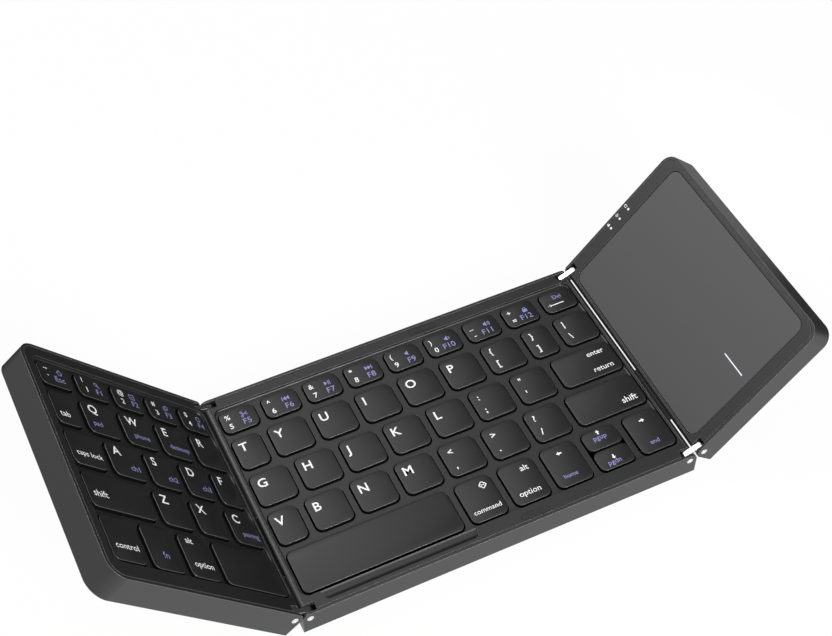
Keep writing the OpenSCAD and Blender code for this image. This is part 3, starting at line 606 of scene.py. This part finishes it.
def ring(cx, cy, r, start=0, turn=360):
    """Outlines of an arc, drawn as a line with a corner every 40 degrees or so."""
    steps = max(3, turn // corner_every)
    angles = [math.radians(start + turn * i / steps) for i in range(steps + 1)]
    return stroke(*[(cx + r * math.cos(a), cy + r * math.sin(a)) for a in angles])


# Signs, each in a unit square.
speaker = [[(0, 0.3), (0.2, 0.3), (0.5, 0), (0.5, 1), (0.2, 0.7), (0, 0.7)]]
one_back = [[(0.5, 0.1), (0.5, 0.9), (0, 0.5)]]
one_on = [[(0, 0.1), (0.5, 0.5), (0, 0.9)]]
arrow = [[(0, 0.5), (0.5, 0.1), (0.5, 0.36), (1, 0.36), (1, 0.64), (0.5, 0.64), (0.5, 0.9)]]


def turned(outlines, quarters):
    """The outlines, turned clockwise by quarters."""
    for _ in range(quarters):
        outlines = [[(y, 1 - x) for x, y in outline] for outline in outlines]
    return outlines


def shifted(outlines, dx):
    """The outlines, moved to the right."""
    return [[(x + dx, y) for x, y in outline] for outline in outlines]


signs = {
    "house": stroke((0.2, 0.5), (0.2, 0.05), (0.8, 0.05), (0.8, 0.5))
    + stroke((0, 0.45), (0.5, 0.95), (1, 0.45)),
    "lens": ring(0.38, 0.62, 0.3) + stroke((0.6, 0.4), (0.95, 0.05), width=0.2),
    "box": stroke((0.05, 0.05), (0.95, 0.05), (0.95, 0.95), (0.05, 0.95), (0.05, 0.05))
    + stroke((0.3, 0.5), (0.7, 0.5)),
    "sheets": stroke((0.05, 0.7), (0.05, 0.05), (0.65, 0.05))
    + stroke((0.35, 0.35), (0.95, 0.35), (0.95, 0.95), (0.35, 0.95), (0.35, 0.35)),
    "board": stroke((0.15, 0.05), (0.85, 0.05), (0.85, 0.8), (0.15, 0.8), (0.15, 0.05))
    + stroke((0.35, 0.95), (0.65, 0.95)),
    "cut": stroke((0, 0.25), (1, 0.75))
    + stroke((0, 0.75), (1, 0.25))
    + ring(0.15, 0.1, 0.14)
    + ring(0.15, 0.9, 0.14),
    "previous": stroke((-0.1, 0.1), (-0.1, 0.9)) + one_back + shifted(one_back, 0.5),
    "play": one_on + stroke((0.65, 0.1), (0.65, 0.9)) + stroke((0.9, 0.1), (0.9, 0.9)),
    "next": one_on + shifted(one_on, 0.5) + stroke((1.1, 0.1), (1.1, 0.9)),
    "mute": speaker,
    "quiet": speaker + ring(0.5, 0.5, 0.3, -50, 100),
    "loud": speaker + ring(0.5, 0.5, 0.3, -50, 100) + ring(0.5, 0.5, 0.55, -50, 100),
    "lock": [[(0.1, 0), (0.9, 0), (0.9, 0.55), (0.1, 0.55)]] + ring(0.5, 0.6, 0.26, 0, 180),
    "arrow_left": arrow,
    "arrow_up": turned(arrow, 1),
    "arrow_right": turned(arrow, 2),
    "arrow_down": turned(arrow, 3),
    "long_arrow": stroke((0, 0.5), (1, 0.5), width=0.06) + [[(-0.04, 0.5), (0.16, 0.4), (0.16, 0.6)]],
    "diamond": stroke((0.5, 0), (1, 0.5), (0.5, 1), (0, 0.5), (0.5, 0))
    + stroke((0.25, 0.5), (0.75, 0.5)),
}

# Each mark is its words or its sign's name, where its lower left corner lies on the cap and how
# high it is, in millimetres, and its ink. The rows lean on where a cap's far edge is.
marks = {}
number_d, letter_d = row_spans[4][1], row_spans[2][1]
number_rows = (
    (
        "left",
        "~!@#$",
        "`1234",
        ("house", "lens", "box", "sheets", "board"),
        ("Esc", "F1", "F2", "F3", "F4"),
    ),
    (
        "mid",
        "%^&*()_+",
        "567890-=",
        ("cut", "previous", "play", "next", "mute", "quiet", "loud", "lock"),
        ("F5", "F6", "F7", "F8", "F9", "F10", "F11", "F12"),
    ),
)
for side, uppers, lowers, pictures, labels in number_rows:
    # The left panel's marks lie a little higher on their caps and further in.
    lift = 0.9 if side == "left" else 0
    for i, (upper, lower, picture, label) in enumerate(zip(uppers, lowers, pictures, labels)):
        indent = 1.9 + 1.1 * lift
        label_x = 8.1 - 1.9 * (len(label) - 2) + 0.6 * lift
        marks[side, 4, i] = [
            (upper, indent, number_d - 4.5 + lift, 3.3, WHITE),
            (lower, indent + 0.5, number_d - 9.1 + lift, 3.5, WHITE),
            (picture, 8.5 + 0.5 * lift, number_d - 5.4 + lift, 2.6, LAVENDER),
            (label, label_x, number_d - 9.0 + lift, 3.8, LAVENDER),
        ]
for side, row, start, letters in (
    ("left", 3, 1, "QWER"), ("left", 2, 1, "ASDF"), ("left", 1, 1, "ZXC"),
    ("mid", 3, 0, "TYUIOP"), ("mid", 2, 0, "GHJKL"), ("mid", 1, 0, "VBNM"),
):
    dx, dy = (2.9, letter_d - 5.2) if side == "left" else (2.1, letter_d - 6.7)
    for i, letter in enumerate(letters):
        marks[side, row, start + i] = [(letter, dx, dy, 5.6, WHITE)]
for row, start, uppers, lowers in ((3, 6, "{}|", "[]\\"), (2, 5, ':"', ";'"), (1, 4, "<>?", ",./")):
    for i, (upper, lower) in enumerate(zip(uppers, lowers)):
        marks["mid", row, start + i] = [
            (upper, 2.8, letter_d - 5.3, 4.0, WHITE), (lower, 3.0, letter_d - 12.0, 4.2, WHITE)
        ]
for key, words, x, size in (
    ((3, 1), "pad", 2.8, 3.2),
    ((3, 2), "phone", 4.2, 3.2),
    ((3, 3), "desktop", 3.9, 3.2),
    ((2, 1), "ch1", 9.0, 3.6),
    ((2, 2), "ch2", 8.6, 3.6),
    ((2, 3), "ch3", 8.2, 3.6),
    ((1, 3), "pairing", 5.1, 3.3),
):
    marks["left", *key].append((words, x, 3.9, size, LAVENDER))
marks.update({
    ("left", 3, 0): [("tab", 2.3, 3.7, 3.8, WHITE)],
    ("left", 2, 0): [("caps lock", 2.4, 4.6, 3.25, WHITE)],
    ("left", 1, 0): [("shift", 2.4, 5.0, 4.0, WHITE)],
    ("left", 0, 0): [("control", 2.7, 5.4, 3.6, WHITE)],
    ("left", 0, 1): [("fn", 6.4, 5.4, 4.0, LAVENDER)],
    ("left", 0, 2): [("alt", 3.3, 15.2, 3.8, WHITE), ("option", 3.1, 4.9, 3.7, WHITE)],
    ("mid", 4, 8): [("Del", 5.3, 6.3, 2.8, LAVENDER), ("long_arrow", 1.9, 0.1, 7.0, WHITE)],
    ("mid", 2, 7): [("enter", 15.3, 10.5, 3.5, WHITE), ("return", 14.3, 2.5, 3.5, WHITE)],
    ("mid", 1, 7): [("shift", 20.5, 2.9, 4.0, WHITE)],
    ("mid", 0, 1): [("diamond", 9.2, 13.2, 3.1, WHITE), ("command", 1.9, 3.4, 2.95, WHITE)],
    ("mid", 0, 2): [("alt", 8.5, 13.9, 3.6, WHITE), ("option", 2.8, 3.3, 3.5, WHITE)],
    ("mid", 0, 3): [("arrow_left", 6.0, 13.8, 2.3, WHITE), ("home", 3.6, 3.5, 2.7, LAVENDER)],
    ("mid", 0, 5): [("arrow_right", 6.2, 13.8, 2.3, WHITE), ("end", 5.0, 3.3, 2.8, LAVENDER)],
    ("mid", "up"): [("arrow_up", 6.1, 6.4, 2.1, WHITE), ("pgup", 3.9, 4.1, 3.1, LAVENDER)],
    ("mid", "down"): [("arrow_down", 6.2, 3.6, 2.1, WHITE), ("pgdn", 3.6, 1.6, 3.1, LAVENDER)],
})

for side, panel, places, table in (
    ("mid", middle, mid_places, mid_nodes),
    ("left", left_panel, left_places, left_nodes),
):
    for name, keys in table.items():
        bm = bmesh.new()
        for key in keys:
            x, y = places[key][:2]
            mark_key = (side, *key) if isinstance(key, tuple) else (side, key)
            for mark, dx, dy, size, colour in marks.get(mark_key, []):
                if mark in signs:
                    for outline in signs[mark]:
                        print_shape(bm, panel, outline, x + dx, y + dy, size, colour)
                else:
                    print_words(bm, panel, mark, x + dx, y + dy, size, colour)
        if bm.faces:
            piece = new_object(bm, "legends_" + name, white_ink, lavender_ink)
            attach(piece, name)
        else:
            bm.free()


# --- Links and pins --------------------------------------------------------------------------
# Bright links stamped from aluminium and tumbled, on ground steel pins. Both catch the light as
# small clear highlights at the corners of the panels.
handled_mm, smoother, rougher = 0.6, 0.8, 1.25


def metal(name, code, rough, edge_mm):
    """Bare metal, with rounded edges and a finish that varies as handled metal does."""
    material, tree = new_material(name)
    place = add(tree, "ShaderNodeTexCoord")
    handling = add(
        tree,
        "ShaderNodeTexNoise",
        {"Scale": 1 / (handled_mm * MM), "Detail": 4.0},
        {"Vector": place.outputs["Object"]},
    )
    blur = add(
        tree,
        "ShaderNodeMapRange",
        {"To Min": rough * smoother, "To Max": rough * rougher},
        {"Value": handling.outputs["Fac"]},
    )
    corner = add(tree, "ShaderNodeBevel", {"samples": 4, "Radius": edge_mm * MM})
    surface = add(
        tree,
        "ShaderNodeBsdfPrincipled",
        {"Base Color": linear(code), "Metallic": 1.0},
        {"Roughness": blur.outputs["Result"], "Normal": corner.outputs["Normal"]},
    )
    add(tree, "ShaderNodeOutputMaterial", {}, {"Surface": surface.outputs[0]})
    return material


# Tumbled aluminium: soft white highlights with rounded edges.
link_aluminium = metal("tumbled_aluminium_link", "#F0F0F0", 0.3, 0.25)
# Ground steel: the pins' heads show as small sharper glints.
pin_steel = metal("ground_steel_pin", "#E8E8E8", 0.22, 0.15)
for name in ("links_left", "links_right"):
    dress(name, link_aluminium)
for name in ("pins_mid", "pins_left", "pins_right"):
    dress(name, pin_steel)


# --- Plates, screws and metal inside ---------------------------------------------------------
# The key plates are rolled steel, coated black so that nothing shines through the wells. The
# screws, the switch and the charging socket are bare plated steel, the battery a foil pouch.
# Coated steel: near black with a dull sheen, the dark ground seen around the caps.
black_steel = moulded("black_coated_steel_plate", "#141415", "#19191A", 0.45, 0.8, 0.005, 0.05)
for name in ("plate_mid", "plate_left"):
    dress(name, black_steel)
# Nickel plating: a warm bright grey on the screws' heads and in the socket.
plated = metal("nickel_plated_steel", "#B4B4B0", 0.3, 0.05)
for name in ("screws_mid", "screws_left", "screws_right", "click_switch", "usb_socket", "pad_tray"):
    dress(name, plated)
# Foil pouch: a soft silver with crumpled light.
dress("battery", metal("battery_foil_pouch", "#C4C6C8", 0.38, 0.4))


# --- Films, boards, domes and scissors -------------------------------------------------------
# Below the caps lie a printed film, silicone domes and acetal scissors, all dark so that the
# wells read as black. The boards are glass fibre under green solder mask.
# Printed polyester: smooth black, so that the wells and the slits read as shadow.
dark_film = moulded("printed_polyester_film", "#0C0C0D", "#111112", 0.35, 1.5, 0.004, 0.05, 0.15)
for name in ("membrane_mid", "membrane_left", "ribbon_left", "ribbon_right"):
    dress(name, dark_film)
# Moulded acetal: a waxy black on the scissors.
dark_acetal = moulded("moulded_acetal_scissor", "#161617", "#1B1B1C", 0.4, 0.6, 0.004, 0.08)
for name in ("scissors_mid", "scissors_left"):
    dress(name, dark_acetal)
# Silicone: matt black domes.
silicone = moulded("moulded_silicone_dome", "#1A1A1B", "#202021", 0.6, 0.8, 0.004, 0.1)
for name in ("domes_mid", "domes_left"):
    dress(name, silicone)
# Solder mask: the glossy green of a circuit board.
solder_mask = moulded("green_solder_mask", "#10402C", "#174D37", 0.3, 1.2, 0.006, 0.05)
for name in ("main_board", "board_left", "power_board", "touchpad_board"):
    dress(name, solder_mask)


# --- Flex ribbons ----------------------------------------------------------------------------
# A dark polyester flex crosses each seam: along a panel's floor, up beside the ledge, out through
# a slit in the rounded edge, and the same way back into the next panel. The bare span runs straight from
# slit to slit, in two halves.
ribbon_front, ribbon_width, ribbon_thick = 19.0, 27.5, 0.12
slit_out = pin_in * math.sqrt(0.5)
slit = (pin_in - slit_out, panel_t - pin_in + slit_out)
ribbon_path = [(18.5, 3.85), (3.95, 3.85), (3.95, 6.35), slit]
span_steps = 4


def ribbon_strip(points):
    """A thin strip along points, which lie in a plane across the seam."""
    bm = bmesh.new()
    verts = [bm.verts.new(p) for p in points]
    edges = [bm.edges.new(pair) for pair in zip(verts, verts[1:])]
    made = bmesh.ops.extrude_edge_only(bm, edges=edges)["geom"]
    far = [v for v in made if isinstance(v, bmesh.types.BMVert)]
    bmesh.ops.translate(bm, vec=(0, ribbon_width * MM, 0), verts=far)
    bmesh.ops.recalc_face_normals(bm, faces=bm.faces)
    bmesh.ops.solidify(bm, geom=bm.faces[:] + bm.edges[:] + bm.verts[:], thickness=ribbon_thick * MM)
    bmesh.ops.recalc_face_normals(bm, faces=bm.faces)
    return bm


def ribbon_piece(name, points):
    """A stretch of ribbon in its own piece."""
    piece = new_object(ribbon_strip(points), name, dark_film)
    return piece


def ribbon_points(panel, outward, end):
    """The ribbon's path in a panel whose hinge end is at end, and that reaches outward."""
    corners = [Vector((end + outward * u, ribbon_front, w)) * MM for u, w in ribbon_path]
    return [panel @ corner for corner in corners]


for side, panel, outward, near_end in (("left", left_panel, -1, 0), ("right", right_panel, 1, mid_width)):
    inner = ribbon_points(middle, -outward, near_end)
    outer = ribbon_points(panel, outward, 0)
    fold = (inner[-1] + outer[-1]) / 2
    links, far_body = side + "_links", side + "_panel"
    for name, points, body in (("middle", inner, "middle"), (side, outer, far_body)):
        tail = ribbon_piece("ribbon_" + side + "_tail_" + name, points)
        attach(tail, body)
        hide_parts("ribbon_" + side)
    for name, ends, pair in (
        ("near", (inner[-1], fold), ("middle", links)),
        ("far", (fold, outer[-1]), (links, far_body)),
    ):
        points = [ends[0].lerp(ends[1], k / span_steps) for k in range(span_steps + 1)]
        span = ribbon_piece("ribbon_" + side + "_span_" + name, points)
        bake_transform(span)
        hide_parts("ribbon_" + side)


# --- Feet and bumpers ------------------------------------------------------------------------
# Oblong pads of black rubber, glued into shallow recesses below the panels, and two strips on
# the middle panel's rims that the folded panels rest against.
# Rubber: a flat dark grey with no highlight.
rubber = moulded("moulded_black_rubber", "#1B1B1C", "#222223", 0.7, 0.5, 0.01, 0.2)
for name in ("feet_mid", "feet_left", "feet_right", "bumpers_mid"):
    dress(name, rubber)


# --- Touchpad --------------------------------------------------------------------------------
# A plate with a matte etched film on top, a shade lighter than the frame, and a short printed
# line at its front that divides the left click from the right.
# Etched film: an even mid grey that glows softly, with no sparkle.
pad_film = moulded("etched_touchpad_film", "#434344", "#48484A", 0.42, 0.5, 0.004, 0.2)
dress("touchpad", pad_film)

line_x, line_y = 34.6, 10.4
line_length, line_share = 12.0, 0.04
pad_below_rim = 0.2
pad_top = panel_t - pad_below_rim + ink_lift
bm = bmesh.new()
line_outline = [(0, 0), (line_share, 0), (line_share, 1), (0, 1)]
print_shape(bm, right_panel, line_outline, line_x, line_y, line_length, WHITE, pad_top)
piece = new_object(bm, "touchpad_line", white_ink)
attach(piece, "touchpad")


# --- Light pipes and their marks -------------------------------------------------------------
# Three clear acrylic rods bring the lamps' light to the rim, each with a small printed sign
# behind it.
# Cast acrylic with a polished end: a small glossy white dot on the dark rim.
acrylic, tree = new_material("clear_acrylic_light_pipe")
haze_mm = 0.4
place = add(tree, "ShaderNodeTexCoord")
haze = add(
    tree, "ShaderNodeTexNoise", {"Scale": 1 / (haze_mm * MM)}, {"Vector": place.outputs["Object"]}
)
rough = add(tree, "ShaderNodeMapRange", {"To Min": 0.15, "To Max": 0.3}, {"Value": haze.outputs["Fac"]})
surface = add(
    tree,
    "ShaderNodeBsdfPrincipled",
    {"Base Color": linear("#F4F4F6"), "IOR": 1.49},
    {"Roughness": rough.outputs["Result"]},
)
add(tree, "ShaderNodeOutputMaterial", {}, {"Surface": surface.outputs[0]})
dress("light_pipes", acrylic)

sign_size, sign_from_back = 1.5, 2.35
rim_top = panel_t + ink_lift
bm = bmesh.new()
for x, name in ((28.0, "lock"), (33.5, "diamond"), (39.0, "board")):
    for outline in signs[name]:
        print_shape(bm, right_panel, outline, x, depth - sign_from_back, sign_size, WHITE, rim_top)
piece = new_object(bm, "lamp_marks", white_ink)
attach(piece, "right_panel")
